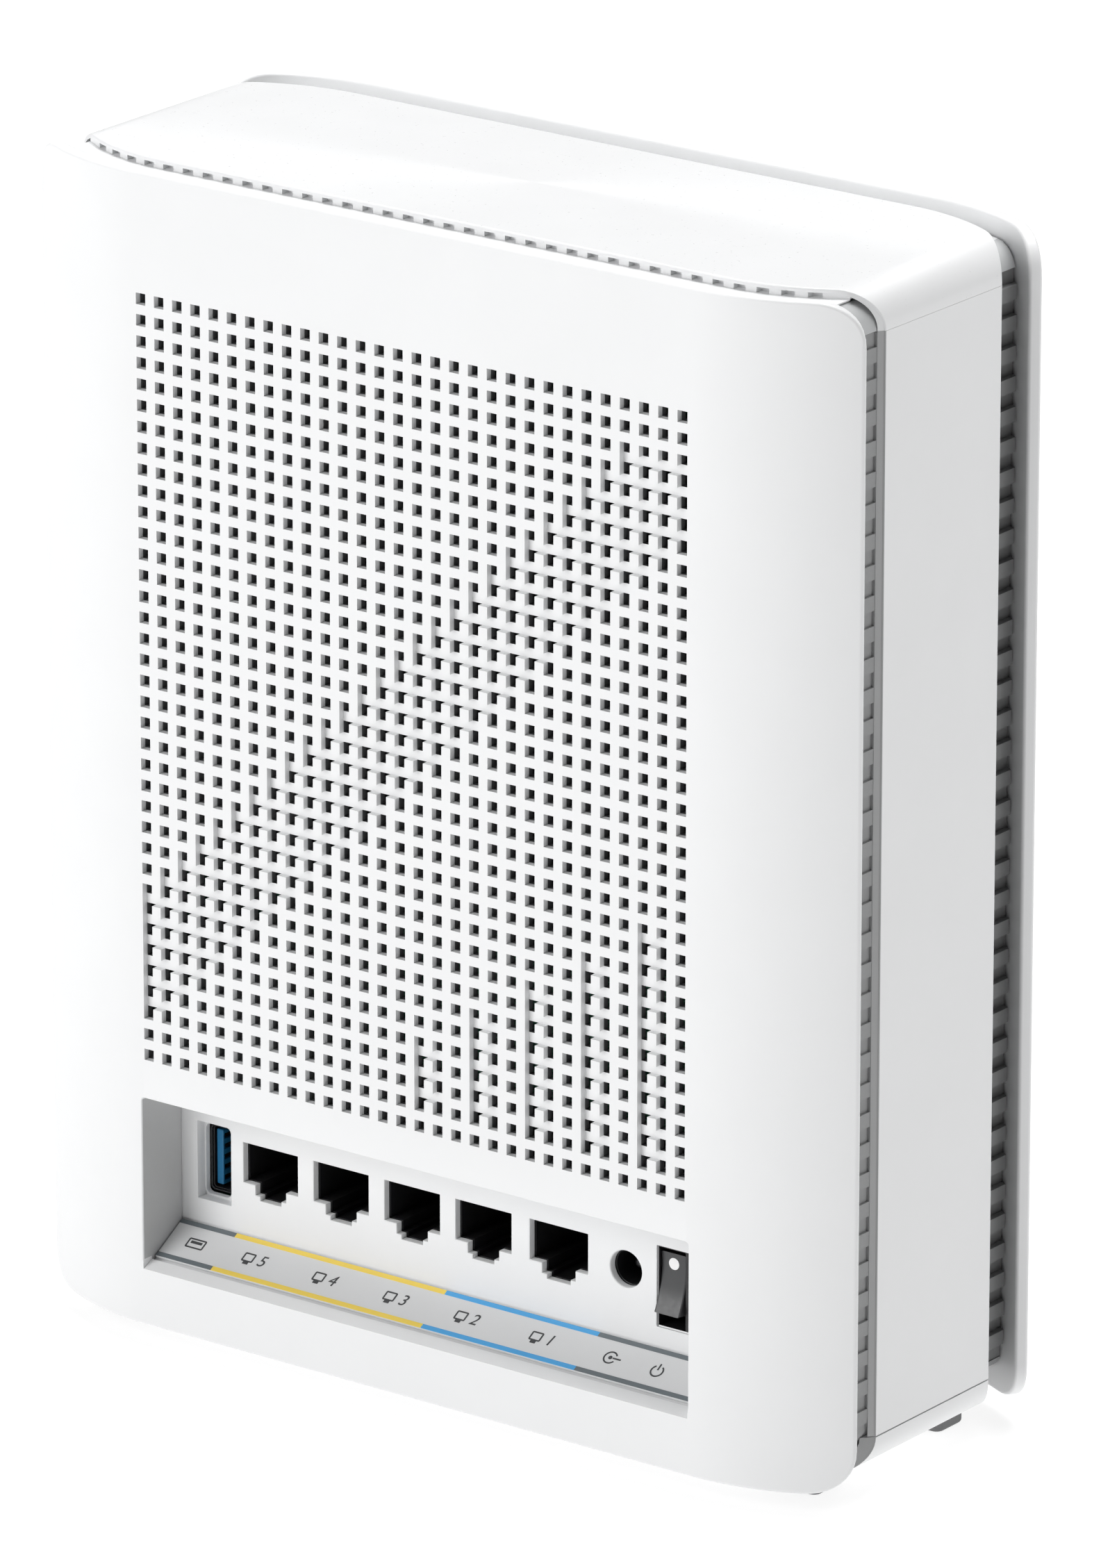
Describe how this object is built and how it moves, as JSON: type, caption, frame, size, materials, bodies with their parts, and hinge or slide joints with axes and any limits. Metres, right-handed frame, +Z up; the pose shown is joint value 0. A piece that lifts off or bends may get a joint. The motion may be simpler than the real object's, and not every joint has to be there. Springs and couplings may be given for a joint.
{
  "type": "wireless router",
  "caption": "Upright wireless router: two curved white plates, one with a square-hole grille and a port recess, clamp a slim shell with vented necks.",
  "frame": {"origin": "centre of the bounding box at the base, on the surface the rubber feet rest on", "axes": "+Z up, +Y towards the side with the grille and ports, X across the width"},
  "size_m": [0.186, 0.0754, 0.228],
  "materials": {
    "shell_white": "fine satin, off-white moulded plastic",
    "port_panel_white": "satin moulded plastic",
    "button_white": "satin moulded plastic",
    "neck_grey": "satin light grey plastic",
    "label_film": "silver-grey printed film with coloured edge bands",
    "black_plastic": "satin black plastic",
    "rocker_plastic": "dark grey, semi-gloss",
    "usb_blue": "blue plastic",
    "plated_steel": "bright nickel plate",
    "foot_rubber": "dark grey, matt",
    "circuit_board": "green solder mask",
    "sink_aluminium": "plain extruded",
    "thermal_pad": "soft silicone",
    "frame_plastic": "dark grey",
    "light_lens": "frosted clear",
    "coax_jacket": "black cable jacket"
  },
  "bodies": {
    "router_body": {"antenna_1": "circuit_board", "antenna_2": "circuit_board", "antenna_3": "circuit_board", "antenna_4": "circuit_board", "base_cover": "shell_white", "base_screw_1": "plated_steel", "base_screw_2": "plated_steel", "base_screw_3": "plated_steel", "base_screw_4": "plated_steel", "board_link": "black_plastic", "board_screw_1": "plated_steel", "board_screw_2": "plated_steel", "board_screw_3": "plated_steel", "board_screw_4": "plated_steel", "coax_1": "coax_jacket", "coax_2": "coax_jacket", "coax_3": "coax_jacket", "coax_4": "coax_jacket", "dc_jack_body": "black_plastic", "dc_jack_pin": "plated_steel", "foot_1": "foot_rubber", "foot_2": "foot_rubber", "foot_3": "foot_rubber", "foot_4": "foot_rubber", "front_panel": "shell_white", "heatsink_front": "sink_aluminium", "heatsink_rear": "sink_aluminium", "inner_frame": "frame_plastic", "io_panel": "port_panel_white", "label_strip": "label_film", "light_pipe": "light_lens", "main_board": "circuit_board", "network_jack_1": "black_plastic", "network_jack_2": "black_plastic", "network_jack_3": "black_plastic", "network_jack_4": "black_plastic", "network_jack_5": "black_plastic", "pairing_contact": "black_plastic", "port_board": "circuit_board", "rear_panel": "shell_white", "reset_contact": "black_plastic", "rocker_pin": "plated_steel", "shield_can_front": "plated_steel", "shield_can_rear": "plated_steel", "side_wall_left": "shell_white", "side_wall_right": "shell_white", "switch_housing": "black_plastic", "thermal_pad_front": "thermal_pad", "thermal_pad_rear": "thermal_pad", "top_cap": "shell_white", "usb_shell": "plated_steel", "usb_tongue": "usb_blue", "vent_frame_front": "neck_grey", "vent_frame_rear": "neck_grey"},
    "power_rocker": {"power_rocker": "rocker_plastic"},
    "pairing_button": {"pairing_button": "button_white"},
    "reset_button": {"reset_button": "button_white"}
  },
  "joints": [
    {"name": "power_switch_hinge", "type": "hinge", "parent": "router_body", "child": "power_rocker", "pos_m": [-0.05033, 0.0208, 0.0338], "axis": [1, 0, 0], "range_deg": [-23, 0]},
    {"name": "pairing_button_slide", "type": "slide", "parent": "router_body", "child": "pairing_button", "axis": [0, 0, 1], "range_m": [0, 0.0008], "stiffness_N_per_m": 400},
    {"name": "reset_button_slide", "type": "slide", "parent": "router_body", "child": "reset_button", "axis": [0, 0, 1], "range_m": [0, 0.0005], "stiffness_N_per_m": 400}
  ]
}
